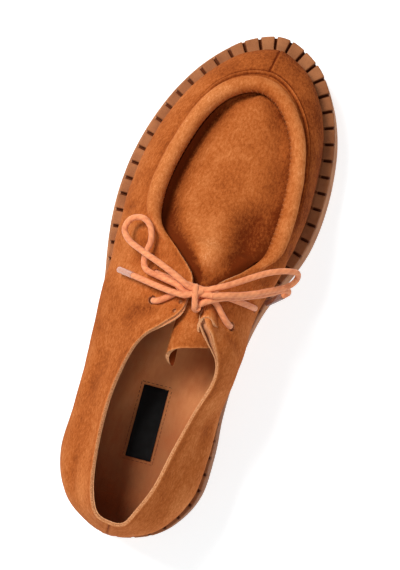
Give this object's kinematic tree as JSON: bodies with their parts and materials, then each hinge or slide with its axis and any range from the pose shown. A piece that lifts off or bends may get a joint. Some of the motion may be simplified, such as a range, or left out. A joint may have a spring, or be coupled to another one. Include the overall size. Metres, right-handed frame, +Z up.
{
  "type": "lace-up loafer",
  "caption": "Left suede lace-up loafer: apron toe inside a raised rolled seam, open collar, round cord lace tied in a bow, thick rubber sole with a grooved welt.",
  "frame": {"origin": "on the floor, under the middle of the shoe's length and width", "axes": "+Y to the toe, +X to the medial (inner) side of the foot, +Z up"},
  "size_m": [0.1074, 0.275, 0.0992],
  "materials": {
    "suede": "napped tan suede",
    "sole_rubber": "matt tan",
    "lining": "smooth, satin",
    "label": "matt black, bare",
    "cord": "waxed",
    "aglet": "clear sleeve over the cord"
  },
  "bodies": {
    "root": {"outsole": "sole_rubber", "welt": "sole_rubber", "insole": "lining", "insole_label": "label", "upper": "suede", "apron": "suede", "tongue": "suede", "lace_bar_front": "cord", "lace_bar_rear": "cord", "lace_knot": "cord", "lace_loop_lateral": "cord", "lace_loop_medial": "cord", "lace_end_lateral": "cord", "lace_end_medial": "cord", "aglet_lateral": "aglet", "aglet_medial": "aglet"}
  },
  "joints": []
}
